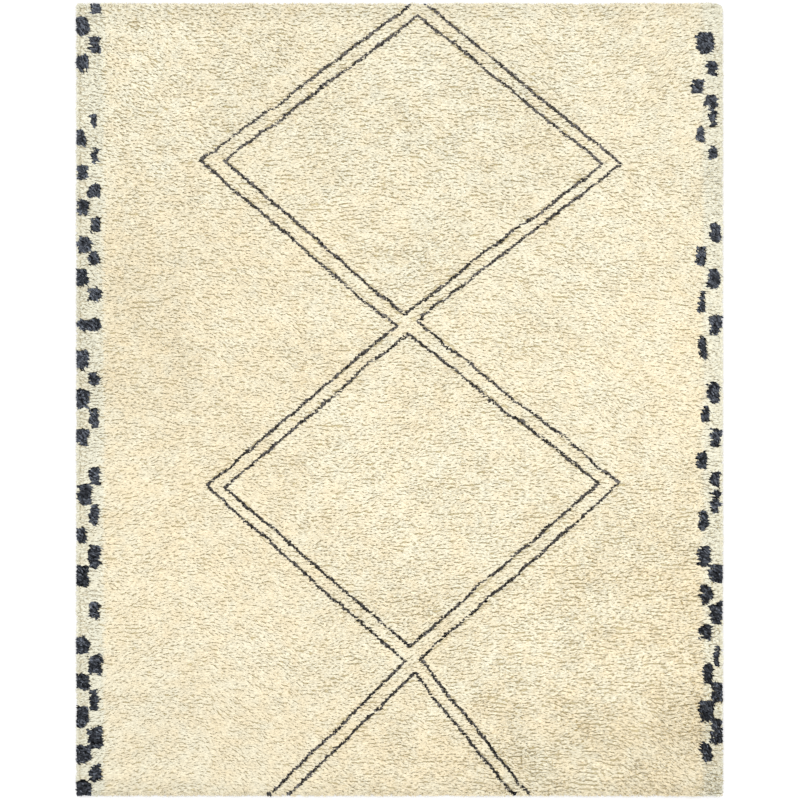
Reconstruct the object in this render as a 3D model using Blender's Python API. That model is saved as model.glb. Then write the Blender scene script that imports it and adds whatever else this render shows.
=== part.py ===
"""A Beni Ourain rug laid flat: one hand-knotted piece of thick wool shag.

The solid is a slab of pile with a flat underside. Its top is lumpy: the pile leans
towards -Y, so each row of lumps rises gently and drops steeply onto the next one.
Blunt locks of wool lean out of the rim and down to the floor.

Metres, +Z up. The origin is on the underside at the middle of the rug, +X runs
across the rug and +Y along it.
"""

import bmesh
import bpy
from mathutils import Vector, noise

# Overall size, over the tips of the longest rim locks
RUG_WIDTH = 2.44
RUG_LENGTH = 2.99

# Pile
CROWN_HEIGHT = 0.028  # top of the highest lumps
DIP_DEPTH = 0.011  # drop from a row's crown to the dip in front of it
END_DEPTH = 0.005  # drop from a lump's crown to its two ends
SWELL_DEPTH = 0.004  # slow rise and fall of the whole pile
SWELL_SPAN = 0.45  # distance over which the pile rises and falls
LUMP_UNEVEN = 0.003  # lumps differ from each other by up to this much
SHOULDER_DROP = 0.002  # the pile starts to fall one cell in from the rim
RIM_HEIGHT = 0.018  # pile height where it meets the rim locks
RIM_UNEVEN = 0.002

# Rows of lumps across the rug, staggered like bricks
LUMPS_ACROSS = 14
ROWS_ALONG = 44
OVERHANG = 0.014  # a dip lies this much nearer to the crown behind it
SCALLOP = 0.010  # a lump's middle hangs forward by this much
ROW_WANDER = 0.045  # the rows bend to and fro by up to this much
END_WANDER = 0.020  # the lumps shift along their row by up to this much
WANDER_SPAN = 0.42

# Rim locks
LOCK_REACH = 0.026  # from the slab's side to the tip of the longest locks
LOCK_UNEVEN = 0.010  # the shortest locks are this much shorter
LOCK_BEND_AT = 0.5  # share of the reach at which a lock bends down
LOCK_BEND_HEIGHT = 0.82  # height at the bend, as a share of the root's height
LOCK_BEND_WIDTH = 0.94  # width at the bend, as a share of the root's width
LOCK_TIP_HEIGHT = 0.30
LOCK_TIP_WIDTH = 0.60
LOCK_SWAY = 0.006  # tips lean to one side or the other by up to this much
LOCK_SPAN = 0.047  # distance over which the locks change in length and lean
CORNER_CUT = 0.017  # the slab's corners are cut off at this distance

CELLS_ACROSS = 2 * LUMPS_ACROSS
CELLS_ALONG = 2 * ROWS_ALONG
SLAB_WIDTH = RUG_WIDTH - 2 * LOCK_REACH
SLAB_LENGTH = RUG_LENGTH - 2 * LOCK_REACH

# Undyed sheep's wool
WOOL_COLOR = (0.82, 0.74, 0.55, 1.0)
WOOL_ROUGHNESS = 0.95


def clear_scene():
    for thing in list(bpy.data.objects):
        bpy.data.objects.remove(thing, do_unlink=True)


def wool_material():
    material = bpy.data.materials.new("cream_wool")
    material.use_nodes = True
    shader = material.node_tree.nodes["Principled BSDF"]
    shader.inputs["Base Color"].default_value = WOOL_COLOR
    shader.inputs["Roughness"].default_value = WOOL_ROUGHNESS
    shader.inputs["Metallic"].default_value = 0.0
    return material


def drift(place, span, layer):
    """A smooth uneven value between -1 and 1 that changes over the given span."""
    return noise.noise(Vector((place.x / span, place.y / span, layer)))


class GridPlace:
    """Where a corner of the flat grid lies, counted in cells from the -X -Y corner."""

    def __init__(self, flat):
        column = (flat.x / SLAB_WIDTH + 0.5) * CELLS_ACROSS
        row = (flat.y / SLAB_LENGTH + 0.5) * CELLS_ALONG
        self.cells_from_rim = min(column, CELLS_ACROSS - column, row, CELLS_ALONG - row)
        self.on_rim = self.cells_from_rim < 0.5
        self.in_dip = round(row) % 2 == 1
        brick_row = round(row) // 2
        self.at_lump_middle = (round(column) + brick_row) % 2 == 0


def pile_height(flat):
    """Height of the pile over a corner of the flat grid."""
    place = GridPlace(flat)
    if place.on_rim:
        return RIM_HEIGHT + RIM_UNEVEN * drift(flat, LOCK_SPAN, 4.5)
    height = CROWN_HEIGHT - SWELL_DEPTH * (0.5 + 0.5 * drift(flat, SWELL_SPAN, 0.5))
    height += LUMP_UNEVEN * drift(flat, LOCK_SPAN, 8.5)
    if place.in_dip:
        height -= DIP_DEPTH
    elif not place.at_lump_middle:
        height -= END_DEPTH
    if place.cells_from_rim < 1.5:
        height -= SHOULDER_DROP
    return height


def row_shift(flat):
    """How far a corner of the grid moves so that the rows wander and overhang."""
    place = GridPlace(flat)
    if place.on_rim:
        return Vector()
    freedom = min(place.cells_from_rim / 4, 1.0)
    along_row = freedom * END_WANDER * drift(flat, WANDER_SPAN / 2, 12.5)
    across_row = freedom * ROW_WANDER * drift(flat, WANDER_SPAN, 16.5)
    if place.in_dip:
        across_row += OVERHANG
    elif place.at_lump_middle:
        across_row -= SCALLOP * freedom
    return Vector((along_row, across_row, 0.0))


def add_pile_top(body):
    """The top of the slab, an open sheet of lumps over a rectangle with cut corners."""
    bmesh.ops.create_grid(body, x_segments=CELLS_ACROSS, y_segments=CELLS_ALONG, size=0.5)
    bmesh.ops.scale(body, vec=(SLAB_WIDTH, SLAB_LENGTH, 1.0), verts=body.verts)
    corners = [vert for vert in body.verts if len(vert.link_edges) == 2]
    bmesh.ops.bevel(body, geom=corners, offset=CORNER_CUT, affect="VERTICES", segments=1)
    # The cells are longer than they are deep, so each end cell carries two locks
    end_edges = []
    for edge in body.edges:
        run = edge.verts[1].co - edge.verts[0].co
        if edge.is_boundary and abs(run.y) < abs(run.x) * 0.5:
            end_edges.append(edge)
    bmesh.ops.subdivide_edges(body, edges=end_edges, cuts=1)
    for vert in body.verts:
        flat = vert.co.copy()
        vert.co = flat + row_shift(flat)
        vert.co.z = pile_height(flat)


def close_slab(body):
    """Drops the slab's side to the floor and closes it with a flat underside.

    Returns the faces of the side, one for each rim lock.
    """
    rim = [edge for edge in body.edges if edge.is_boundary]
    skirt = bmesh.ops.extrude_edge_only(body, edges=rim)["geom"]
    for piece in skirt:
        if isinstance(piece, bmesh.types.BMVert):
            piece.co.z = 0.0
    side = [piece for piece in skirt if isinstance(piece, bmesh.types.BMFace)]
    hem = [edge for edge in body.edges if edge.is_boundary]
    bmesh.ops.holes_fill(body, edges=hem, sides=len(hem))
    bmesh.ops.recalc_face_normals(body, faces=body.faces)
    return side


def extend_lock(body, face, root, reach, width, height, sway):
    """Grows a lock by one stretch, and sets its new end from the shape of its root."""
    end = bmesh.ops.extrude_discrete_faces(body, faces=[face])["faces"][0]
    for vert, corner in zip(end.verts, root["corners"]):
        offset = (corner - root["middle"]).dot(root["sideways"])
        vert.co = root["middle"] + root["outward"] * reach
        vert.co += root["sideways"] * (offset * width + sway)
        vert.co.z = corner.z * height
    return end


def add_lock(body, face):
    """Grows a blunt four-sided lock out of a face of the slab's side.

    Neighbouring locks share the upright edge between their roots and part from there.
    """
    outward = Vector((face.normal.x, face.normal.y, 0.0)).normalized()
    root = {
        "middle": face.calc_center_median(),
        "outward": outward,
        "sideways": Vector((-outward.y, outward.x, 0.0)),
        "corners": [vert.co.copy() for vert in face.verts],
    }
    shortness = 0.5 + drift(root["middle"], LOCK_SPAN, 20.5)
    reach = LOCK_REACH - LOCK_UNEVEN * min(max(shortness, 0.0), 1.0)
    sway = LOCK_SWAY * drift(root["middle"], LOCK_SPAN, 24.5)
    bend_reach = reach * LOCK_BEND_AT
    bend = extend_lock(body, face, root, bend_reach, LOCK_BEND_WIDTH, LOCK_BEND_HEIGHT, 0.0)
    extend_lock(body, bend, root, reach, LOCK_TIP_WIDTH, LOCK_TIP_HEIGHT, sway)


def make_rug(collection):
    body = bmesh.new()
    add_pile_top(body)
    for face in close_slab(body):
        add_lock(body, face)
    mesh = bpy.data.meshes.new("rug")
    body.to_mesh(mesh)
    body.free()
    rug = bpy.data.objects.new("rug", mesh)
    rug.data.materials.append(wool_material())
    collection.objects.link(rug)


def main():
    clear_scene()
    collection = bpy.data.collections.new("beni_ourain_rug")
    bpy.context.scene.collection.children.link(collection)
    make_rug(collection)


main()
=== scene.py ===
"""Looks of a Beni Ourain rug laid flat, seen from straight above.

The rug is built as it is made: a woven ground, a bed of packed wool that is the lower
part of the pile, and some hundred and thirty thousand strands of wool that lean over
each other on top of it and splay out round the rim. The pattern is tied in with the
pile, so each strand is cream or charcoal by where the part of it that shows lies.

Metres, +Z up. +X runs across the rug, and +Y along it to the end at the top of the
picture. Directions are in degrees, counter-clockwise from +X.
"""

import math

import bpy
import numpy as np
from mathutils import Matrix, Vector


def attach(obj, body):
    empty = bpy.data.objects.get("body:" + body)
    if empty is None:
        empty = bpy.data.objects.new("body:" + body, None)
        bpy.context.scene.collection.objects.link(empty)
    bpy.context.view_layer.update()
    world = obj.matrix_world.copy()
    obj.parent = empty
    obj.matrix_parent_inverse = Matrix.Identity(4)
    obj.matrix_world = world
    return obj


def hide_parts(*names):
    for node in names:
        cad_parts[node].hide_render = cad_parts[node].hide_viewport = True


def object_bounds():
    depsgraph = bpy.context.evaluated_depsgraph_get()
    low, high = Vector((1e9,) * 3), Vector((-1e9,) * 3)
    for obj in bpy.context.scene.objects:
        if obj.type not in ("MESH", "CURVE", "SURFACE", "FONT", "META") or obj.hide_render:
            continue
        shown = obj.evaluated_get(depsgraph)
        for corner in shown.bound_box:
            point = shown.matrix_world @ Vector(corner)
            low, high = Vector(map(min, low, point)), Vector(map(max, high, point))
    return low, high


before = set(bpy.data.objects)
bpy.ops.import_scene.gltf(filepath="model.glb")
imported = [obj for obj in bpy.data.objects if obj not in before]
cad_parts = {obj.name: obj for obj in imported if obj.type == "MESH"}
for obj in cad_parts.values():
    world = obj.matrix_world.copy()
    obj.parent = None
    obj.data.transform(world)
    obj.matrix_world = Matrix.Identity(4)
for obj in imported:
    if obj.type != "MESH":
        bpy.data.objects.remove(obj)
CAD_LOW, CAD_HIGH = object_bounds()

RUG_HALF_WIDTH = (CAD_HIGH.x - CAD_LOW.x) / 2
RUG_HALF_LENGTH = (CAD_HIGH.y - CAD_LOW.y) / 2
FLOOR_GAP = 0.0005  # the floor lies this far down, and the strands stay this far up

# Woven ground
GROUND_INSET = 0.006  # the rim's strands reach this far past the ground
GROUND_THICKNESS = 0.0028
GROUND_UNEVEN = 0.0003
GROUND_UNEVEN_SPAN = 0.07
GROUND_CELLS = (48, 60)

# Bed of packed wool, the lower part of the pile
BED_INSET = 0.009
BED_HALF_WIDTH = RUG_HALF_WIDTH - BED_INSET
BED_HALF_LENGTH = RUG_HALF_LENGTH - BED_INSET
BED_BASE = 0.0031
BED_HEIGHT = 0.0165
BED_CELLS = (150, 184)
BED_SWELLS = [(0.0016, 0.31), (0.0010, 0.085)]  # height and span of each swell
SHOULDER = 0.024  # the bed rounds off this far in from its side
SHOULDER_DROP = 0.0040
BED_SIDE_DEPTH = 0.018  # the bed is greyer, with less painted shade, this near to its side
CORNER_RADIUS = 0.004
ROUND_CORNER_RADIUS = 0.022  # of the corner at +X +Y, the only one that is clearly round

# Strands of the pile, tied in pairs of rows that run across the rug
ROW_PITCH = 0.0066
TIE_PITCH = 0.0090
ROW_PAIRING = 0.22  # share of a row by which the two rows of a pair draw together
ROW_WANDER = 1.2  # rows wander by this many row pitches
ROW_SWELLS = [(1.0, 0.09), (0.5, 0.03)]
ROW_SCATTER = 0.14  # share of a row
TIE_SCATTER = 0.25  # share of the distance between two ties
STRAND_LENGTH = 0.0295
STRAND_WIDTH = 0.0082
STRAND_THICKNESS = 0.0031
LENGTH_UNEVEN = 0.12
LEAST_LENGTH = 0.4  # no strand is shorter than this share of the usual length
LEAST_TRIMMED = 0.1  # and none is cut at the rim to less than this share of its own
WIDTH_UNEVEN = 0.15
THICKNESS_UNEVEN = 0.12
BANDS = 5  # the pile is made in this many pieces along the rug
PILE_SEED = 1

# A pile strand's root, its widest place and its tip: share of its length, height over the
# bed, and how far it follows the rise and fall of the pile
PILE_BENDS = [(0.00, -0.0030, 0.0), (0.42, 0.0058, 1.126), (1.00, 0.0054, 1.3)]
PILE_LIFT_UNEVEN = 0.0003
PILE_SWELLS = [(0.0006, 0.06), (0.0006, 0.02)]
RUFFLE_RISE = 0.4  # share of a strand's height that goes by how rough the pile lies
SECTION = [(0.5, -0.25), (0.0, 0.60), (-0.5, -0.25)]  # across and up, in widths and thicknesses
TOP_POINT = 2  # every third point of a strand, counted from its root, is on its ridge

# Directions in which the strands turn away from the nap: degrees and span
TURNS = [(10.0, 0.12), (15.0, 0.033)]
TURN_SCATTER = 9.0

# Strands round the rim, in two tiers: heights at the root, the bend, near the tip and at it
RIM_TIERS = [
    (0.0150, 0.0172, 0.0115, 0.0065),
    (0.0055, 0.0085, 0.0050, 0.0020),
]
RIM_SHARES = (0.0, 0.45, 0.80, 1.0)  # where these places lie along a strand
RIM_WIDTHS = (1.0, 0.8)  # width at the bend and near the tip, as shares of the full one
RIM_SHOWN_AT = 0.6  # the part that shows is this far along a strand
RIM_LIGHT_DEPTH = 0.014  # the light reaches the roots of the strands this near to the rim
RIM_PITCH = 0.0046
RIM_SCATTER = 0.3  # share of the pitch
RIM_CORNER_EXTRA = 3  # each corner has this many more strands than its arc calls for
RIM_REACH = 0.0234
RIM_REACH_UNEVEN = 0.07
RIM_LIFT_UNEVEN = 0.12
RIM_ROOT_DEPTH = 0.014  # the roots lie this far in from the bed's side
RIM_TURN_SCATTER = 30.0
RIM_STRAND_WIDTH = 0.0070
RIM_STRAND_THICKNESS = 0.0048
RIM_TONE = 0.98
RIM_SEED = 2

# How the pile lies in different parts of the rug. Nap: the direction in which it leans.
# Tone: how bright it is. Warmth: from 0, white, to 1, yellow. Ruffle: how rough it lies.
PILE_PLACES = [
    # across, along, nap, tone, warmth, ruffle
    (-1.05, 1.25, -18, 0.975, 0.40, 0.96),
    (-0.55, 1.20, -8, 0.965, 0.50, 0.96),
    (0.00, 1.20, -5, 0.980, 0.40, 0.94),
    (0.50, 1.20, -14, 0.980, 0.40, 0.96),
    (0.90, 1.25, 12, 0.980, 0.50, 0.85),
    (0.60, 0.55, -8, 0.995, 0.50, 0.84),
    (-0.05, 0.50, -2, 0.990, 0.50, 0.92),
    (-0.55, 0.35, -17, 0.965, 0.70, 0.74),
    (-1.05, 0.30, -3, 0.920, 0.80, 0.80),
    (0.05, -0.30, 6, 1.010, 0.50, 0.92),
    (0.65, 0.00, -10, 0.995, 0.55, 0.74),
    (1.00, 0.20, -10, 1.003, 0.75, 0.68),
    (-1.00, -0.50, 8, 0.955, 0.80, 0.56),
    (-0.60, -0.60, -10, 0.965, 0.70, 0.60),
    (-1.05, -1.40, 14, 0.895, 0.60, 0.42),
    (-0.60, -1.42, -24, 0.900, 0.75, 0.38),
    (0.05, -0.95, 8, 0.990, 0.60, 1.00),
    (0.00, -1.42, -8, 0.950, 0.80, 0.85),
    (0.60, -0.85, 6, 1.030, 0.55, 1.20),
    (0.55, -1.42, -2, 0.970, 0.65, 1.40),
    (1.00, -0.90, 5, 1.020, 0.75, 1.40),
    (1.05, -1.42, -24, 0.920, 0.90, 1.60),
]
PLACE_SOFTNESS = 0.15  # a place hardly fades over this distance
LEAST_RUFFLE = 0.1
RIM_TURN_DEPTH = 0.028  # ever more of the pile turns outwards over this distance to the rim
RIM_TURN_CHANCE = 0.55
RIM_OVERHANG = 0.0085  # the pile's tips reach this far past the bed
RIM_ROOT_OVERHANG = 0.003  # and some of its roots this far, among the rim's strands
RIM_OVERHANG_UNEVEN = 0.0015
SIDE_STRIP = 0.102  # the pile down both sides is greyer
STRIP_BLEND = 0.022
SIDE_STRIP_TONE = -0.055
SIDE_STRIP_WARMTH = -0.80
END_STRIP = 0.072  # and the pile along both ends is a little darker
END_STRIP_TONE = -0.048
TONE_UNEVEN = 0.03
TONE_SWELLS = [(0.01, 0.085), (0.01, 0.030)]
WARMTH_SWELLS = [(0.12, 0.11), (0.30, 0.030)]
RUFFLE_SWELLS = [(0.30, 0.11), (0.30, 0.045)]

# The pattern: where each charcoal line turns, from the middle of the rug
PATTERN_LINES = {
    "left zigzag": [
        (0.060, 1.500), (-0.750, 0.900), (-0.015, 0.275),
        (-0.730, -0.325), (0.020, -0.985), (-0.500, -1.500),
    ],
    "right zigzag": [
        (0.085, 1.500), (0.835, 0.885), (0.060, 0.300),
        (0.830, -0.315), (0.075, -0.980), (0.500, -1.500),
    ],
    "upper lozenge": [
        (0.070, 1.445), (-0.660, 0.900), (0.015, 0.320),
        (0.765, 0.885), (0.070, 1.445),
    ],
    "middle lozenge": [
        (0.030, 0.250), (-0.660, -0.330), (0.040, -0.930),
        (0.750, -0.315), (0.030, 0.250),
    ],
    "lower lozenge": [(-0.430, -1.500), (0.055, -1.030), (0.440, -1.500)],
}
LINE_WIDTH = 0.0080  # the cream pile leaves this much room for a line
LINE_WIDTH_SWELLS = [(0.8, 0.035)]
LINE_WANDERS = [(0.0055, 0.11), (0.0040, 0.035)]
LINE_TIE_PITCH = 0.0029
LINE_ROW_PITCH = 0.0100  # the knots of a line draw together in rows, which makes it jagged
LINE_ROW_SHARE = 0.45
LINE_SPREAD = 0.0019  # the ties of a line lie this far to either side of it
LINE_TURN_SHARE = 0.35  # a line's strands lie between the nap and the line
LINE_END_INSET = 0.002  # a line's ties end this far in from the bed's side
LINE_STRAND_LENGTH = 0.016
LINE_STRAND_WIDTH = 0.0104
LINE_WARMTH = 0.9
CHARCOAL_RISE = 0.0008  # charcoal strands stand this much higher than cream ones

# The pattern: runs of charcoal marks down both sides, in two columns by turns
MARK_RUNS = [
    # side, first column, along at the first mark, marks, step, size
    ("left", "inner", 1.476, 4, 0.068, 0.95),
    ("left", "inner", 1.053, 11, 0.066, 0.96),
    ("left", "both", 0.283, 1, 0.064, 0.92),
    ("left", "outer", 0.151, 5, 0.073, 0.92),
    ("left", "inner", -0.283, 6, 0.076, 1.00),
    ("left", "inner", -0.793, 1, 0.066, 1.00),
    ("left", "outer", -0.925, 9, 0.068, 1.16),
    ("right", "both", 1.344, 1, 0.090, 1.00),
    ("right", "outer", 1.246, 3, 0.062, 0.97),
    ("right", "outer", 1.065, 3, 0.068, 0.97),
    ("right", "outer", 0.630, 6, 0.087, 0.89),
    ("right", "outer", 0.023, 5, 0.081, 0.95),
    ("right", "outer", -0.378, 2, 0.076, 1.16),
    ("right", "inner", -0.585, 11, 0.074, 1.18),
]
MARK_COLUMNS = {
    # across, drift across for each metre along, width
    ("left", "inner"): (-1.146, 0.0, 0.041),
    ("left", "outer"): (-1.192, 0.0, 0.050),
    ("left", "both"): (-1.170, 0.0, 0.090),
    ("right", "inner"): (1.142, -0.0116, 0.039),
    ("right", "outer"): (1.188, -0.0079, 0.042),
    ("right", "both"): (1.146, 0.0, 0.068),
}
MARK_FILL = 0.92  # a mark's height as a share of the step
MARK_SCATTER = 0.004
MARK_SIZE_SCATTER = 0.007
MARK_EDGES = [(0.008, 0.011)]
MARK_TURN = -35.0  # the marks' strands lie this far round from the nap
MARK_SQUARENESS = 4.0  # 2 would make the marks round
MARK_ROW_PITCH = 0.0048
MARK_TIE_PITCH = 0.0068
MARK_STRAND_LENGTH = 0.021
MARK_LENGTH_UNEVEN = 0.35
MARK_STRAND_WIDTH = 0.0072
MARK_WARMTH = 0.1
MARK_SEED = 7

# Colours, red, green and blue from 0 to 255
# The colours at the roots are painted shade, where the strands sink into the pile
CREAM_ROOT_SHADE = (190, 178, 143)
CREAM_TIP = (232, 229, 209)
CREAM_WARM = (232, 219, 188)
# The bed's colours are painted shade deep in the pile, darker and yellower than the strands' tips;
# its clumps vary at random between them
BED_DARK = (200, 185, 143)
BED_LIGHT = (230, 219, 182)
BED_SIDE = (218, 211, 188)
# Painted shade at the charcoal strands' roots as well
CHARCOAL_ROOT_SHADE = (12, 13, 15)
CHARCOAL_TIP = (56, 60, 67)
CHARCOAL_WARM = (67, 64, 61)  # the yarn of the lines is warmer than that of the marks
GROUND_YARN = (222, 210, 178)
FLOOR_WHITE = (243, 243, 244)

# How the charcoal strands differ in brightness, as powers of e
CHARCOAL_UNEVEN = 0.85
CHARCOAL_SWELLS = [(0.35, 0.055)]
CHARCOAL_FADE = 0.25  # the charcoal lightens by this much a metre towards +Y
CHARCOAL_BRIGHTEST = 3.5  # and no strand is more than this many times its plain colour

# Surface of the wool
WOOL_ROUGHNESS = 0.95
WOOL_SHINE = 0.06
NOISE_DETAIL = 2.0
BUMP_STRENGTH = 0.5
WOOL_BUMP = 0.002
YARN_BUMP = 0.001
YARN_WAVES = 50.0  # the wave texture's scale
YARN_DISTORTION = 0.6
STRAND_FADE = (0.1, 0.5)  # shares of a strand's length over which the painted shade at its root gives way to its tip's colour
FIBRE_SIZE = 0.0038
FIBRE_LEVELS = (0.3, 0.7)
FIBRE_TONES = (0.82, 1.14)
FIBRE_STRETCH = (3.0, 1.0, 1.0)
CLUMP_SIZE = 0.006
CLUMP_LEVELS = (0.3, 0.7)
BED_MARK_LEVELS = (0.4, 0.6)  # the bed turns dark between these shares of a mark's edge
# Creases: painted shade in the gaps between strands
CREASE_SIZE = 0.0058
CREASE_STRETCH = (2.0, 1.0, 1.0)  # creases run across the rug, as the strands do
CREASE_LEVELS = (0.34, 0.45)
CREASE_DEPTH = 0.66
CREASE_SHADE_TINT = (0.52, 0.45, 0.30, 1.0)  # painted shade in the creases between strands, darker and yellower as deep in the pile
CELL_MARGIN = 0.08  # share of a strand's cell on the UV map

# Studio
PICTURE_WIDTH = 3.020  # of the floor, across the whole picture
CAMERA_LENS = 85.0
CAMERA_SENSOR = 36.0
CAMERA_ACROSS = 0.002
CAMERA_ALONG = -0.0015
SUN_STRENGTH = 0.60
SUN_HEIGHT = 50.0
SUN_FROM = 100.0
SUN_SOFTNESS = 60.0
SKY_STRENGTH = 1.235
FLOOR_SIDE = 80.0

FIELD_SIDE = 4.0  # the uneven fields cover this much, more than the rug


class Drift:
    """A smooth uneven field over the rug, from -1 to 1, that changes over the given span."""

    def __init__(self, span, seed):
        self.span = span
        cells = int(FIELD_SIDE / span) + 3
        self.lattice = np.random.default_rng(seed).uniform(-1.0, 1.0, (cells, cells))

    def at(self, x, y):
        column = (x + FIELD_SIDE / 2) / self.span
        row = (y + FIELD_SIDE / 2) / self.span
        left = np.floor(column).astype(int)
        low = np.floor(row).astype(int)
        across = ease(column - left)
        up = ease(row - low)
        below = blend(self.lattice[low, left], self.lattice[low, left + 1], across)
        above = blend(self.lattice[low + 1, left], self.lattice[low + 1, left + 1], across)
        return blend(below, above, up)


def ease(share):
    """A share from 0 to 1 that starts and ends slowly."""
    return share * share * (3.0 - 2.0 * share)


def blend(first, second, share):
    return first * (1.0 - share) + second * share


def drifts(swells, seed):
    """A function that adds up one drift for each (size, span) of the swells."""
    layers = [(size, Drift(span, seed + n)) for n, (size, span) in enumerate(swells)]
    return lambda x, y: sum(size * layer.at(x, y) for size, layer in layers)


# The number after each table is the seed of its first drift
bed_swell = drifts(BED_SWELLS, 10)
pile_swell = drifts(PILE_SWELLS, 20)
tone_swell = drifts(TONE_SWELLS, 30)
ruffle_swell = drifts(RUFFLE_SWELLS, 40)
turn_swell = drifts(TURNS, 50)
warmth_swell = drifts(WARMTH_SWELLS, 130)
row_swell = drifts(ROW_SWELLS, 60)
line_swell_x = drifts(LINE_WANDERS, 70)
line_swell_y = drifts(LINE_WANDERS, 80)
charcoal_swell = drifts(CHARCOAL_SWELLS, 120)
line_width_swell = drifts(LINE_WIDTH_SWELLS, 90)
mark_edge_swell = drifts(MARK_EDGES, 100)
ground_swell = drifts([(GROUND_UNEVEN, GROUND_UNEVEN_SPAN)], 110)


def corner_radius(x, y):
    """Radius of the rug's corner on the same side and end as each place."""
    return np.where((x > 0.0) & (y > 0.0), ROUND_CORNER_RADIUS, CORNER_RADIUS)


def inside_rim(x, y):
    """Distance in from the bed's side, and negative outside it."""
    side = BED_HALF_WIDTH - np.abs(x)
    end = BED_HALF_LENGTH - np.abs(y)
    square = np.minimum(side, end)
    radius = corner_radius(x, y)
    corner = radius - np.hypot(radius - side, radius - end)
    in_corner = (side < radius) & (end < radius)
    return np.where(in_corner, corner, square)


def bed_height(x, y):
    """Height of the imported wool, which swells slowly and rounds off at its side."""
    fall = np.maximum(1.0 - inside_rim(x, y) / SHOULDER, 0.0)
    return BED_HEIGHT + bed_swell(x, y) - SHOULDER_DROP * fall * fall


def in_side_strip(x):
    """From 0 in the middle of the rug to 1 in the greyer strips down its sides."""
    return ease(np.clip((np.abs(x) - RUG_HALF_WIDTH + SIDE_STRIP) / STRIP_BLEND, 0.0, 1.0))


def in_end_strip(y):
    """From 0 in the middle of the rug to 1 in the darker strips along its ends."""
    return ease(np.clip((np.abs(y) - RUG_HALF_LENGTH + END_STRIP) / STRIP_BLEND, 0.0, 1.0))


def lie_of_pile(x, y):
    """Nap, tone, warmth and ruffle of the pile, blended between the named places."""
    total = np.zeros((4,) + x.shape)
    weights = np.zeros(x.shape)
    for across, along, *lie in PILE_PLACES:
        away = (x - across) ** 2 + (y - along) ** 2 + PLACE_SOFTNESS**2
        weight = away**-2
        weights += weight
        total += weight * np.array(lie).reshape((4,) + (1,) * x.ndim)
    nap, tone, warmth, ruffle = total / weights
    side = in_side_strip(x)
    tone = tone + SIDE_STRIP_TONE * side + END_STRIP_TONE * in_end_strip(y)
    return nap, tone, warmth + SIDE_STRIP_WARMTH * side, ruffle


def near_line(x, y):
    """True where a charcoal line of the pattern passes."""
    half_width = LINE_WIDTH / 2 * (1.0 + line_width_swell(x, y))
    x = x + line_swell_x(x, y)
    y = y + line_swell_y(x, y)
    found = np.zeros(x.shape, dtype=bool)
    for turns in PATTERN_LINES.values():
        for (x0, y0), (x1, y1) in zip(turns, turns[1:]):
            run = (x1 - x0) ** 2 + (y1 - y0) ** 2
            share = ((x - x0) * (x1 - x0) + (y - y0) * (y1 - y0)) / run
            share = np.clip(share, 0.0, 1.0)
            away = np.hypot(x - blend(x0, x1, share), y - blend(y0, y1, share))
            found |= away < half_width
    return found


def side_marks():
    """Middle and half size of each mark, across and along."""
    scatter = np.random.default_rng(MARK_SEED)
    other = {"inner": "outer", "outer": "inner", "both": "both"}
    marks = []
    for side, column, along, count, step, growth in MARK_RUNS:
        for n in range(count):
            across, lean, width = MARK_COLUMNS[side, column]
            moved = scatter.normal(0.0, MARK_SCATTER, 2)
            middle = (across + lean * along + moved[0], along + moved[1])
            grown = scatter.normal(0.0, MARK_SIZE_SCATTER, 2)
            height = step * MARK_FILL
            size = (growth * (width + grown[0]) / 2, growth * (height + grown[1]) / 2)
            marks.append((middle, size))
            column = other[column]
            along -= step
    return marks


def on_mark(x, y):
    """True on a charcoal mark. The marks of the outer column run out over the rim."""
    edge = mark_edge_swell(x, y)
    x = np.clip(x, -BED_HALF_WIDTH, BED_HALF_WIDTH)
    found = np.zeros(x.shape, dtype=bool)
    for middle, size in side_marks():
        across = np.abs(x - middle[0]) / (size[0] + edge)
        along = np.abs(y - middle[1]) / (size[1] + edge)
        found |= across**MARK_SQUARENESS + along**MARK_SQUARENESS < 1.0
    return found


def is_charcoal(x, y):
    return near_line(x, y) | on_mark(x, y)


def linear(color):
    """A colour from 0 to 255, brought from the sRGB curve to the shader's linear scale."""
    shares = np.array(color) / 255.0
    return (*np.where(shares <= 0.04045, shares / 12.92, ((shares + 0.055) / 1.055) ** 2.4), 1.0)


def new_material(name):
    material = bpy.data.materials.new(name)
    material.use_nodes = True
    shader = material.node_tree.nodes["Principled BSDF"]
    shader.inputs["Roughness"].default_value = WOOL_ROUGHNESS
    shader.inputs["Specular IOR Level"].default_value = WOOL_SHINE
    return material, material.node_tree, shader


def attribute_node(tree, name):
    node = tree.nodes.new("ShaderNodeAttribute")
    node.attribute_name = name
    return node.outputs["Fac"]


def color_ramp(tree, value, levels, colors):
    node = tree.nodes.new("ShaderNodeValToRGB")
    for element, level, color in zip(node.color_ramp.elements, levels, colors):
        element.position = level
        element.color = linear(color)
    tree.links.new(value, node.inputs["Fac"])
    return node.outputs["Color"]


def mix_color(tree, share, first, second, way="MIX"):
    node = tree.nodes.new("ShaderNodeMix")
    node.data_type = "RGBA"
    node.blend_type = way
    tree.links.new(share, node.inputs[0])
    for socket, value in zip(node.inputs[6:8], (first, second)):
        if isinstance(value, tuple):
            socket.default_value = value
        else:
            tree.links.new(value, socket)
    return node.outputs[2]


def product(tree, first, second):
    node = tree.nodes.new("ShaderNodeMath")
    node.operation = "MULTIPLY"
    tree.links.new(first, node.inputs[0])
    tree.links.new(second, node.inputs[1])
    return node.outputs["Value"]


def scale_color(tree, color, factor):
    node = tree.nodes.new("ShaderNodeVectorMath")
    node.operation = "SCALE"
    tree.links.new(color, node.inputs[0])
    tree.links.new(factor, node.inputs["Scale"])
    return node.outputs["Vector"]


def spread_value(tree, value, levels, values):
    """Brings two levels of a value to two new values, and holds it between them."""
    node = tree.nodes.new("ShaderNodeMapRange")
    for name, number in zip(("From Min", "From Max", "To Min", "To Max"), (*levels, *values)):
        node.inputs[name].default_value = number
    tree.links.new(value, node.inputs["Value"])
    return node.outputs["Result"]


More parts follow.
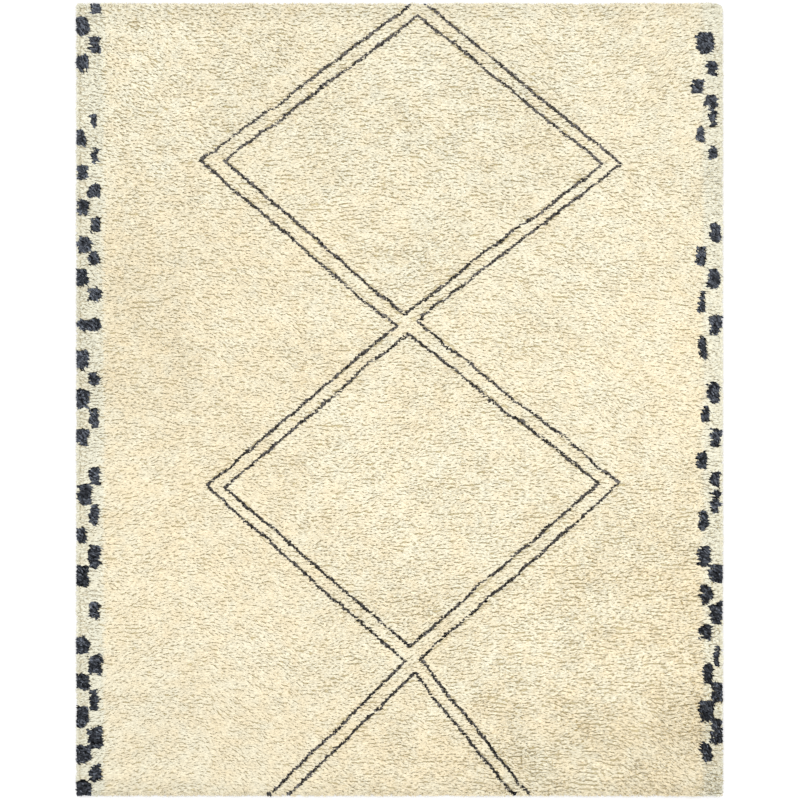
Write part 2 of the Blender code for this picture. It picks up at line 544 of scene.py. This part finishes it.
def noise_value(tree, size, levels, values, stretch=(1.0, 1.0, 1.0)):
    """Noise over the object of the given size, with two of its levels brought to two values."""
    place = tree.nodes.new("ShaderNodeTexCoord")
    squeeze = tree.nodes.new("ShaderNodeVectorMath")
    squeeze.operation = "DIVIDE"
    squeeze.inputs[1].default_value = stretch
    noise = tree.nodes.new("ShaderNodeTexNoise")
    noise.inputs["Scale"].default_value = 1.0 / size
    noise.inputs["Detail"].default_value = NOISE_DETAIL
    tree.links.new(place.outputs["Object"], squeeze.inputs[0])
    tree.links.new(squeeze.outputs["Vector"], noise.inputs["Vector"])
    return spread_value(tree, noise.outputs["Fac"], levels, values)


def add_bump(tree, shader, height, depth):
    bump = tree.nodes.new("ShaderNodeBump")
    bump.inputs["Distance"].default_value = depth
    bump.inputs["Strength"].default_value = BUMP_STRENGTH
    tree.links.new(height, bump.inputs["Height"])
    tree.links.new(bump.outputs["Normal"], shader.inputs["Normal"])


def strand_material(name, root, tip, warm):
    """Wool that lightens from root to tip as its painted shade fades, with fine fibres and creases
    darkened by painted shade.
    """
    material, tree, shader = new_material(name)
    along = attribute_node(tree, "along")
    # Painted shade: darker towards the root, where the strand sinks into the pile
    color = color_ramp(tree, along, STRAND_FADE, (root, tip))
    color = mix_color(tree, attribute_node(tree, "warmth"), color, linear(warm))
    color = scale_color(tree, color, attribute_node(tree, "tone"))
    fibres = noise_value(tree, FIBRE_SIZE, FIBRE_LEVELS, FIBRE_TONES, FIBRE_STRETCH)
    color = scale_color(tree, color, fibres)
    # Painted shade in the creases between strands, deeper where the pile lies rougher
    creases = noise_value(tree, CREASE_SIZE, CREASE_LEVELS, (CREASE_DEPTH, 0.0), CREASE_STRETCH)
    creases = product(tree, attribute_node(tree, "ruffle"), creases)
    color = mix_color(tree, creases, color, CREASE_SHADE_TINT, "MULTIPLY")
    tree.links.new(color, shader.inputs["Base Color"])
    add_bump(tree, shader, fibres, WOOL_BUMP)
    return material


def bed_material():
    """Clumps of wool in painted shade, as deep in the pile, greyer near the rug's sides and dark
    under the marks.
    """
    material, tree, shader = new_material("packed_wool")
    clumps = noise_value(tree, CLUMP_SIZE, (0.0, 1.0), (0.0, 1.0))
    color = color_ramp(tree, clumps, CLUMP_LEVELS, (BED_DARK, BED_LIGHT))
    color = mix_color(tree, attribute_node(tree, "side"), color, linear(BED_SIDE))
    marks = spread_value(tree, attribute_node(tree, "marks"), BED_MARK_LEVELS, (0.0, 1.0))
    color = mix_color(tree, marks, color, linear(CHARCOAL_ROOT_SHADE))
    tree.links.new(color, shader.inputs["Base Color"])
    add_bump(tree, shader, clumps, WOOL_BUMP)
    return material


def ground_material():
    """Plain weave: yarns that cross over and under each other, with painted shade where they dip.
    """
    material, tree, shader = new_material("woven_ground")
    place = tree.nodes.new("ShaderNodeTexCoord")
    yarns = []
    for direction in ("X", "Y"):
        wave = tree.nodes.new("ShaderNodeTexWave")
        wave.bands_direction = direction
        wave.inputs["Scale"].default_value = YARN_WAVES
        wave.inputs["Distortion"].default_value = YARN_DISTORTION
        tree.links.new(place.outputs["Object"], wave.inputs["Vector"])
        yarns.append(wave.outputs["Fac"])
    crossing = tree.nodes.new("ShaderNodeMath")
    crossing.operation = "MAXIMUM"
    for socket, yarn in zip(crossing.inputs, yarns):
        tree.links.new(yarn, socket)
    height = crossing.outputs["Value"]
    # Painted shade in the weave's hollows, where the yarns dip under each other
    color = color_ramp(tree, height, (0.0, 1.0), (CREAM_ROOT_SHADE, GROUND_YARN))
    tree.links.new(color, shader.inputs["Base Color"])
    add_bump(tree, shader, height, YARN_BUMP)
    return material


def link_piece(name, mesh, material):
    """Adds a piece of the rug to the scene and ties it to the frame."""
    mesh.materials.append(material)
    mesh.shade_smooth()
    piece = bpy.data.objects.new(name, mesh)
    bpy.context.scene.collection.objects.link(piece)
    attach(piece, "root")
    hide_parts("rug")
    return piece


def mesh_from_corners(name, points, corners, starts):
    """A mesh from its points, its faces' corners in order, and each face's first corner."""
    mesh = bpy.data.meshes.new(name)
    mesh.vertices.add(len(points))
    mesh.vertices.foreach_set("co", points.astype(np.float32).ravel())
    mesh.loops.add(len(corners))
    mesh.loops.foreach_set("vertex_index", corners.astype(np.int32))
    mesh.polygons.add(len(starts))
    mesh.polygons.foreach_set("loop_start", starts.astype(np.int32))
    mesh.update(calc_edges=True)
    return mesh


def slab_mesh(name, half_width, half_length, cells, top_height, base):
    """A closed slab with rounded corners, an uneven top and a flat underside."""
    columns, rows = cells
    x, y = np.meshgrid(
        np.linspace(-half_width, half_width, columns + 1),
        np.linspace(-half_length, half_length, rows + 1),
    )
    radius = corner_radius(x, y)
    past_x = np.maximum(np.abs(x) - half_width + radius, 0.0)
    past_y = np.maximum(np.abs(y) - half_length + radius, 0.0)
    reach = np.hypot(past_x, past_y)
    pull = 1.0 - np.maximum(past_x, past_y) / np.where(reach > 0.0, reach, 1.0)
    x = x - np.sign(x) * past_x * pull * (reach > 0.0)
    y = y - np.sign(y) * past_y * pull * (reach > 0.0)
    top = np.stack([x, y, top_height(x, y)], axis=-1)
    number = np.arange(x.size).reshape(x.shape)
    rim = np.concatenate(
        [number[0, :-1], number[:-1, -1], number[-1, :0:-1], number[:0:-1, 0]]
    )
    points = top.reshape(-1, 3)
    hem = points[rim] * (1.0, 1.0, 0.0) + (0.0, 0.0, base)
    hem_number = x.size + np.arange(len(rim))
    quads = np.stack([number[:-1, :-1], number[:-1, 1:], number[1:, 1:], number[1:, :-1]], axis=-1)
    sides = np.stack([hem_number, np.roll(hem_number, -1), np.roll(rim, -1), rim], axis=-1)
    quads = np.concatenate([quads.reshape(-1, 4), sides])
    corners = np.concatenate([quads.ravel(), hem_number[::-1]])
    starts = np.arange(len(quads) + 1) * 4
    return mesh_from_corners(name, np.concatenate([points, hem]), corners, starts)


def ground_height(x, y):
    return GROUND_THICKNESS - GROUND_UNEVEN + ground_swell(x, y)


def make_ground():
    mesh = slab_mesh(
        "rug_ground", RUG_HALF_WIDTH - GROUND_INSET, RUG_HALF_LENGTH - GROUND_INSET,
        GROUND_CELLS, ground_height, 0.0,
    )
    return link_piece("rug_ground", mesh, ground_material())


def make_bed():
    mesh = slab_mesh(
        "pile_bed", BED_HALF_WIDTH, BED_HALF_LENGTH, BED_CELLS, bed_height, BED_BASE
    )
    places = np.zeros(len(mesh.vertices) * 3, dtype=np.float32)
    mesh.vertices.foreach_get("co", places)
    x, y = places.reshape(-1, 3)[:, :2].T.astype(float)
    nearness = np.clip(1.0 - inside_rim(x, y) / BED_SIDE_DEPTH, 0.0, 1.0)
    add_point_values(mesh, "side", np.maximum(in_side_strip(x), nearness))
    add_point_values(mesh, "marks", on_mark(x, y))
    return link_piece("pile_bed", mesh, bed_material())


def strand_faces(rings):
    """Faces of one strand, each with its points' numbers and their places on a unit square.

    A strand is a ridge of three sides that runs out to a point at its root and its tip.
    """
    sides = len(SECTION)
    heights = np.linspace(0.0, 1.0, rings + 2)
    faces = []
    for step in range(rings + 1):
        for side in range(sides):
            here = 1 + (step - 1) * sides + side
            beside = 1 + (step - 1) * sides + (side + 1) % sides
            left, right = side / sides, (side + 1) / sides
            middle = (left + right) / 2
            low, high = heights[step], heights[step + 1]
            if step == 0:
                numbers = [0, beside + sides, here + sides]
                places = [(middle, low), (right, high), (left, high)]
            elif step == rings:
                numbers = [here, beside, 1 + rings * sides]
                places = [(left, low), (right, low), (middle, high)]
            else:
                numbers = [here, beside, beside + sides, here + sides]
                places = [(left, low), (right, low), (right, high), (left, high)]
            faces.append((numbers, places))
    return faces


def strand_points(stations, widths, thicknesses):
    """Points of many strands: the root, a three-sided ring at each bend, and the tip."""
    points = [stations[0]]
    for n, (width, thickness) in enumerate(zip(widths, thicknesses), start=1):
        forward = stations[n + 1] - stations[n - 1]
        forward = forward / np.linalg.norm(forward, axis=1, keepdims=True)
        sideways = np.stack([-forward[:, 1], forward[:, 0], np.zeros(len(forward))], axis=1)
        sideways = sideways / np.linalg.norm(sideways, axis=1, keepdims=True)
        up = np.cross(forward, sideways)
        for across, rise in SECTION:
            place = stations[n] + sideways * (across * width)[:, None]
            points.append(place + up * (rise * thickness)[:, None])
    points.append(stations[-1])
    points = np.stack(points, axis=1)
    points[:, :, 2] = np.maximum(points[:, :, 2], FLOOR_GAP)
    return points


def strand_mesh(name, stations, shares, widths, thicknesses, looks):
    """Joins many strands into one mesh, with a cell of its own for each on the UV map."""
    along = np.array([shares[0], *np.repeat(shares[1:-1], len(SECTION)), shares[-1]])
    points = strand_points(stations, widths, thicknesses)
    count, points_each = points.shape[:2]
    # Near the rim the light reaches the roots, so their painted shade is taken away there
    root_depth = inside_rim(stations[0][:, 0], stations[0][:, 1]) / RIM_LIGHT_DEPTH
    along = 1.0 - (1.0 - along[None, :]) * np.clip(root_depth, 0.0, 1.0)[:, None]
    faces = strand_faces(len(widths))
    numbers = np.concatenate([face[0] for face in faces])
    sizes = np.array([len(face[0]) for face in faces])
    starts = np.concatenate([[0], np.cumsum(sizes)[:-1]])
    corners = numbers[None, :] + points_each * np.arange(count)[:, None]
    all_starts = starts[None, :] + len(numbers) * np.arange(count)[:, None]
    mesh = mesh_from_corners(name, points.reshape(-1, 3), corners.ravel(), all_starts.ravel())
    add_point_values(mesh, "along", along.ravel())
    for look, values in looks.items():
        add_point_values(mesh, look, np.repeat(values, points_each))
    places = np.concatenate([face[1] for face in faces])
    add_cells(mesh, places, count)
    sharpen_lower_edges(mesh, points_each)
    return mesh


def add_point_values(mesh, name, values):
    attribute = mesh.attributes.new(name, "FLOAT", "POINT")
    attribute.data.foreach_set("value", values.astype(np.float32))


def add_cells(mesh, places, count):
    """Lays the strands out on the UV map in rows of square cells."""
    side = math.ceil(math.sqrt(count))
    cell = np.stack([np.arange(count) % side, np.arange(count) // side], axis=1)
    padded = CELL_MARGIN + (1.0 - 2 * CELL_MARGIN) * places
    spread = (cell[:, None, :] + padded[None, :, :]) / side
    layer = mesh.uv_layers.new(name="OFBake")
    layer.data.foreach_set("uv", spread.astype(np.float32).ravel())


def sharpen_lower_edges(mesh, points_each):
    """Marks the two long lower edges of each strand as sharp, so its top shades as a soft ridge."""
    ends = np.zeros(len(mesh.edges) * 2, dtype=np.int32)
    mesh.edges.foreach_get("vertices", ends)
    is_lower = ends.reshape(-1, 2) % points_each % len(SECTION) != TOP_POINT
    sharp = mesh.attributes.new("sharp_edge", "BOOLEAN", "EDGE")
    sharp.data.foreach_set("value", is_lower.all(axis=1))


def charcoal_tone(x, y, scatter):
    """How bright each charcoal strand is, against the plain colour of its wool."""
    uneven = CHARCOAL_UNEVEN * scatter.normal(0.0, 1.0, len(x))
    tone = np.exp(uneven + charcoal_swell(x, y) + CHARCOAL_FADE * y)
    return np.minimum(tone, CHARCOAL_BRIGHTEST)


class Strands:
    """Strands of wool tied on the rug, as arrays with one value for each strand."""

    def __init__(
        self, x, y, scatter, length=STRAND_LENGTH, uneven=LENGTH_UNEVEN, width=STRAND_WIDTH
    ):
        self.x, self.y = x, y
        self.count = len(x)
        self.turn_strands(scatter)
        self.size_strands(scatter, length, uneven, width)

    def turn_strands(self, scatter):
        """Turns the strands along the nap, and more and more of them outwards near the rim."""
        nap, self.place_tone, warmth, ruffle = lie_of_pile(self.x, self.y)
        self.warmth = warmth + warmth_swell(self.x, self.y)
        ruffle = ruffle * (1.0 + ruffle_swell(self.x, self.y))
        self.ruffle = np.maximum(ruffle, LEAST_RUFFLE)
        turn = nap + turn_swell(self.x, self.y)
        turn = np.radians(turn + scatter.normal(0.0, TURN_SCATTER, self.count))
        nearness = 1.0 - inside_rim(self.x, self.y) / RIM_TURN_DEPTH
        outwards = scatter.random(self.count) < RIM_TURN_CHANCE * nearness
        way_x, way_y = outward(self.x, self.y)
        rim_turn = np.arctan2(way_y, way_x)
        rim_turn += np.radians(scatter.normal(0.0, RIM_TURN_SCATTER, self.count))
        turn = np.where(outwards, rim_turn, turn)
        self.heading = np.stack([np.cos(turn), np.sin(turn)], axis=1)

    def follow(self, ways, share):
        """Turns the strands towards other directions."""
        heading = blend(self.heading, ways, share)
        self.heading = heading / np.linalg.norm(heading, axis=1, keepdims=True)

    def turn_by(self, degrees):
        """Turns the strands round from the nap."""
        across, along = math.cos(math.radians(degrees)), math.sin(math.radians(degrees))
        x, y = self.heading.T
        self.heading = np.stack([x * across - y * along, x * along + y * across], axis=1)

    def show_at_roots(self):
        """Moves the strands back, so that the part that shows is where the root was."""
        shown_x, shown_y = self.shown()
        self.x, self.y = 2 * self.x - shown_x, 2 * self.y - shown_y

    def trim_at_rim(self, scatter):
        """Draws in the strands that would start too far out, and shortens the long ones."""
        limit = RIM_OVERHANG + RIM_OVERHANG_UNEVEN * scatter.normal(0.0, 1.0, self.count)
        too_far = np.maximum(-limit - inside_rim(self.x, self.y), 0.0)
        way_x, way_y = outward(self.x, self.y)
        self.x, self.y = self.x - way_x * too_far, self.y - way_y * too_far
        root = inside_rim(self.x, self.y)
        tip = inside_rim(*(np.stack([self.x, self.y]) + self.heading.T * self.length))
        share = np.clip((root + limit) / np.maximum(root - tip, 1e-6), LEAST_TRIMMED, 1.0)
        self.length = np.where(tip < -limit, self.length * share, self.length)

    def size_strands(self, scatter, length, length_uneven, width):
        uneven = scatter.normal(0.0, 1.0, (4, self.count))
        self.length = length * np.maximum(1.0 + length_uneven * uneven[0], LEAST_LENGTH)
        self.width = width * (1.0 + WIDTH_UNEVEN * uneven[1])
        self.thickness = STRAND_THICKNESS * (1.0 + THICKNESS_UNEVEN * uneven[2])
        self.thickness *= self.ruffle
        swell = pile_swell(self.x, self.y) + PILE_LIFT_UNEVEN * uneven[3]
        self.lift = self.ruffle * swell

    def shown(self):
        """Middle of the part of each strand that isn't under its neighbours."""
        place = np.stack([self.x, self.y]) + self.heading.T * self.length * 0.5
        return place[0], place[1]

    def tint(self, scatter, charcoal):
        swell = tone_swell(self.x, self.y)
        uneven = TONE_UNEVEN * scatter.normal(0.0, 1.0, self.count)
        cream_tone = self.place_tone + swell + self.ruffle * uneven
        self.tone = np.where(charcoal, charcoal_tone(self.x, self.y, scatter), cream_tone)

    def station(self, share, height, lifted):
        """Where the strands are at a share of their length."""
        x = self.x + self.heading[:, 0] * self.length * share
        y = self.y + self.heading[:, 1] * self.length * share
        if share:
            height = height * blend(1.0, self.ruffle, RUFFLE_RISE)
        z = bed_height(x, y) + height + self.lift * lifted
        return np.stack([x, y, z], axis=1)

    def mesh(self, name, chosen, rise=0.0):
        """The chosen strands as one mesh, raised over the bed by a little more."""
        stations = [
            self.station(share, height + rise, lifted)[chosen]
            for share, height, lifted in PILE_BENDS
        ]
        shares = [share for share, _, _ in PILE_BENDS]
        looks = {"tone": self.tone, "warmth": self.warmth, "ruffle": self.ruffle}
        looks = {look: values[chosen] for look, values in looks.items()}
        return strand_mesh(
            name, stations, shares, [self.width[chosen]], [self.thickness[chosen]], looks
        )


def tie_rows(scatter):
    """Roots of the pile's strands, in pairs of rows that wander across the rug."""
    across = np.arange(-RUG_HALF_WIDTH, RUG_HALF_WIDTH, TIE_PITCH)
    along = np.arange(-RUG_HALF_LENGTH, RUG_HALF_LENGTH, ROW_PITCH)
    x, y = np.meshgrid(across, along)
    row = np.broadcast_to(np.arange(len(along))[:, None], x.shape)
    ruffle = lie_of_pile(x, y)[3]
    x = x + row % 2 * TIE_PITCH / 2
    x = x + ruffle * scatter.normal(0.0, TIE_SCATTER, x.shape) * TIE_PITCH
    shift = np.where(row % 2 == 0, ROW_PAIRING, -ROW_PAIRING)
    shift = ruffle * (shift + scatter.normal(0.0, ROW_SCATTER, x.shape))
    y = y + (shift + ROW_WANDER * row_swell(x, y)) * ROW_PITCH
    kept = inside_rim(x, y) > -RIM_ROOT_OVERHANG
    return x[kept], y[kept]


def tie_lines(scatter):
    """Places along the pattern's lines, and the line's direction at each of them."""
    places, ways = [], []
    for turns in PATTERN_LINES.values():
        for start, end in zip(turns, turns[1:]):
            run = np.array(end) - start
            length = np.linalg.norm(run)
            shares = np.arange(0.0, 1.0, LINE_TIE_PITCH / length)[:, None]
            way = run / length * (1.0 if run[0] > 0.0 else -1.0)
            places.append(start + shares * run)
            ways.append(np.tile(way, (len(shares), 1)))
    places, ways = np.concatenate(places), np.concatenate(ways)
    x, y = places.T
    spread = LINE_SPREAD * (1.0 + line_width_swell(x, y)) * scatter.normal(0.0, 1.0, len(x))
    x = x + line_swell_x(x, y) - ways[:, 1] * spread
    y = y + line_swell_y(x, y) + ways[:, 0] * spread
    y = blend(y, np.round(y / LINE_ROW_PITCH) * LINE_ROW_PITCH, LINE_ROW_SHARE)
    kept = inside_rim(x, y) > LINE_END_INSET
    return x[kept], y[kept], ways[kept]


def tie_marks(scatter):
    """Places all over the side marks, in rows."""
    places = []
    for middle, size in side_marks():
        rows = np.arange(-size[1], size[1], MARK_ROW_PITCH)
        ties = np.arange(-size[0], size[0], MARK_TIE_PITCH)
        x, y = np.meshgrid(middle[0] + ties, middle[1] + rows)
        places.append(np.stack([x.ravel(), y.ravel()]))
    x, y = np.concatenate(places, axis=1)
    x = x + MARK_TIE_PITCH * scatter.uniform(-0.5, 0.5, len(x))
    y = y + MARK_ROW_PITCH * scatter.uniform(-0.5, 0.5, len(y))
    kept = on_mark(x, y) & (inside_rim(x, y) > -RIM_OVERHANG / 2)
    return x[kept], y[kept]


def make_charcoal_strands(name, strands, warmth, scatter):
    """Charcoal strands that stand a little proud, so that the pattern reads clearly."""
    everything = np.ones(strands.count, dtype=bool)
    strands.warmth = np.full(strands.count, warmth)
    strands.show_at_roots()
    strands.trim_at_rim(scatter)
    strands.tint(scatter, everything)
    return strands.mesh(name, everything, CHARCOAL_RISE)


def make_line_strands(scatter):
    """Charcoal strands that lie between the nap and the line they make up."""
    x, y, ways = tie_lines(scatter)
    lines = Strands(x, y, scatter, LINE_STRAND_LENGTH, width=LINE_STRAND_WIDTH)
    lines.follow(ways, LINE_TURN_SHARE)
    return make_charcoal_strands("line_strands", lines, LINE_WARMTH, scatter)


def make_mark_strands(scatter):
    marks = Strands(
        *tie_marks(scatter), scatter, MARK_STRAND_LENGTH, MARK_LENGTH_UNEVEN, MARK_STRAND_WIDTH
    )
    marks.turn_by(MARK_TURN)
    return make_charcoal_strands("mark_strands", marks, MARK_WARMTH, scatter)


def outward(x, y):
    """Direction from the nearest side of the rug outwards, turning through the corners."""
    side = np.maximum(RIM_TURN_DEPTH - (BED_HALF_WIDTH - np.abs(x)), 0.0)
    end = np.maximum(RIM_TURN_DEPTH - (BED_HALF_LENGTH - np.abs(y)), 0.0)
    reach = np.maximum(np.hypot(side, end), 1e-6)
    return np.sign(x) * side / reach, np.sign(y) * end / reach


def make_pile(cream, charcoal):
    """The pile's strands in bands along the rug, with the charcoal ones in pieces of their own."""
    scatter = np.random.default_rng(PILE_SEED)
    pile = Strands(*tie_rows(scatter), scatter)
    pile.trim_at_rim(scatter)
    plain = ~is_charcoal(*pile.shown())
    pile.tint(scatter, ~plain)
    band = np.floor((pile.y / RUG_HALF_LENGTH + 1.0) / 2.0 * BANDS).astype(int)
    pieces = []
    for n in range(BANDS):
        name = f"pile_band_{n + 1}"
        pieces.append(link_piece(name, pile.mesh(name, plain & (band == n)), cream))
    pieces.append(link_piece("mark_strands", make_mark_strands(scatter), charcoal))
    pieces.append(link_piece("line_strands", make_line_strands(scatter), charcoal))
    return pieces


def rim_sides():
    """Places along the four straight sides of the bed, and the way outwards at each."""
    ends = np.arange(-BED_HALF_WIDTH, BED_HALF_WIDTH, RIM_PITCH)
    sides = np.arange(-BED_HALF_LENGTH, BED_HALF_LENGTH, RIM_PITCH)
    places, ways = [], []
    for sign in (-1.0, 1.0):
        places.append(np.stack([ends, np.full(len(ends), sign * BED_HALF_LENGTH)], axis=1))
        ways.append(np.tile([0.0, sign], (len(ends), 1)))
        places.append(np.stack([np.full(len(sides), sign * BED_HALF_WIDTH), sides], axis=1))
        ways.append(np.tile([sign, 0.0], (len(sides), 1)))
    places, ways = np.concatenate(places), np.concatenate(ways)
    straight = inside_rim(places[:, 0], places[:, 1]) > -1e-6
    return places[straight], ways[straight]


def rim_path():
    """Places round the rug on the bed's side, and the way outwards at each of them."""
    places, ways = [[part] for part in rim_sides()]
    for side in (-1.0, 1.0):
        for end in (-1.0, 1.0):
            radius = float(corner_radius(side, end))
            strands = round(radius * math.pi / 2 / RIM_PITCH) + RIM_CORNER_EXTRA
            angles = np.linspace(0.0, math.pi / 2, strands)
            way = np.stack([side * np.cos(angles), end * np.sin(angles)], axis=1)
            middle = (side * (BED_HALF_WIDTH - radius), end * (BED_HALF_LENGTH - radius))
            places.append(way * radius + middle)
            ways.append(way)
    return np.concatenate(places), np.concatenate(ways)


def rim_tier(places, ways, heights, scatter):
    """Where one tier's strands are at each share of their reach, and where they show."""
    turn = np.radians(scatter.normal(0.0, RIM_TURN_SCATTER, len(ways)))
    sideways = np.stack([-ways[:, 1], ways[:, 0]], axis=1)
    heading = ways * np.cos(turn)[:, None] + sideways * np.sin(turn)[:, None]
    jitter = scatter.normal(0.0, RIM_PITCH * RIM_SCATTER, len(ways))
    root = places - ways * RIM_ROOT_DEPTH + sideways * jitter[:, None]
    reach = RIM_REACH * (1.0 + RIM_REACH_UNEVEN * scatter.normal(0.0, 1.0, len(ways)))
    lift = 1.0 + RIM_LIFT_UNEVEN * scatter.normal(0.0, 1.0, len(ways))
    stations = []
    for share, height in zip(RIM_SHARES, heights):
        flat = root + heading * (reach * share)[:, None]
        stations.append(np.column_stack([flat, height * lift]))
    return stations, root + heading * (reach * RIM_SHOWN_AT)[:, None]


def rim_looks(x, y, dark, scatter):
    """Tone, warmth and ruffle of each of the rim's strands."""
    tone = RIM_TONE + TONE_UNEVEN * scatter.normal(0.0, 1.0, len(x))
    _, place_tone, warmth, ruffle = lie_of_pile(x, y)
    tone = np.where(dark, charcoal_tone(x, y, scatter), tone * place_tone)
    return {"tone": tone, "warmth": warmth, "ruffle": ruffle}


def make_rim(cream, charcoal):
    """Strands round the rim that splay outwards and droop to the floor, in tiers."""
    scatter = np.random.default_rng(RIM_SEED)
    places, ways = rim_path()
    tiers = [rim_tier(places, ways, heights, scatter) for heights in RIM_TIERS]
    stations = [np.concatenate(parts) for parts in zip(*(tier[0] for tier in tiers))]
    x, y = np.concatenate([tier[1] for tier in tiers]).T
    dark = is_charcoal(x, y)
    looks = rim_looks(x, y, dark, scatter)
    width = RIM_STRAND_WIDTH * (1.0 + WIDTH_UNEVEN * scatter.normal(0.0, 1.0, len(x)))
    thickness = np.full(len(x), RIM_STRAND_THICKNESS)
    pieces = []
    for name, chosen, material in (("rim_strands", ~dark, cream), ("rim_charcoal", dark, charcoal)):
        mesh = strand_mesh(
            name, [station[chosen] for station in stations], RIM_SHARES,
            [width[chosen] * share for share in RIM_WIDTHS],
            [thickness[chosen] * share for share in RIM_WIDTHS],
            {look: values[chosen] for look, values in looks.items()},
        )
        pieces.append(link_piece(name, mesh, material))
    return pieces


def make_floor():
    mesh = bpy.data.meshes.new("floor")
    half = FLOOR_SIDE / 2
    corners = [(-half, -half), (half, -half), (half, half), (-half, half)]
    mesh.from_pydata([(x, y, -FLOOR_GAP) for x, y in corners], [], [(0, 1, 2, 3)])
    material, _, shader = new_material("floor")
    shader.inputs["Base Color"].default_value = linear(FLOOR_WHITE)
    mesh.materials.append(material)
    floor = bpy.data.objects.new("floor", mesh)
    bpy.context.scene.collection.objects.link(floor)


def make_light():
    sun = bpy.data.lights.new("sun", "SUN")
    sun.energy = SUN_STRENGTH
    sun.angle = math.radians(SUN_SOFTNESS)
    lamp = bpy.data.objects.new("sun", sun)
    lamp.rotation_euler = (math.radians(90.0 - SUN_HEIGHT), 0.0, math.radians(SUN_FROM + 90.0))
    bpy.context.scene.collection.objects.link(lamp)
    world = bpy.data.worlds.new("studio")
    world.use_nodes = True
    sky = world.node_tree.nodes["Background"]
    sky.inputs["Color"].default_value = (1.0, 1.0, 1.0, 1.0)
    sky.inputs["Strength"].default_value = SKY_STRENGTH
    bpy.context.scene.world = world


def make_camera():
    """Straight down on the middle of the rug."""
    data = bpy.data.cameras.new("camera")
    data.lens = CAMERA_LENS
    data.sensor_width = CAMERA_SENSOR
    camera = bpy.data.objects.new("camera", data)
    height = PICTURE_WIDTH * CAMERA_LENS / CAMERA_SENSOR
    camera.location = (CAMERA_ACROSS, CAMERA_ALONG, height)
    bpy.context.scene.collection.objects.link(camera)
    bpy.context.scene.camera = camera
    bpy.context.scene.view_settings.view_transform = "Standard"


def make_rug():
    cream = strand_material("cream_wool", CREAM_ROOT_SHADE, CREAM_TIP, CREAM_WARM)
    charcoal = strand_material("charcoal_wool", CHARCOAL_ROOT_SHADE, CHARCOAL_TIP, CHARCOAL_WARM)
    ground = make_ground()
    bed = make_bed()
    strands = make_pile(cream, charcoal) + make_rim(cream, charcoal)


make_camera()
make_light()
make_floor()
make_rug()
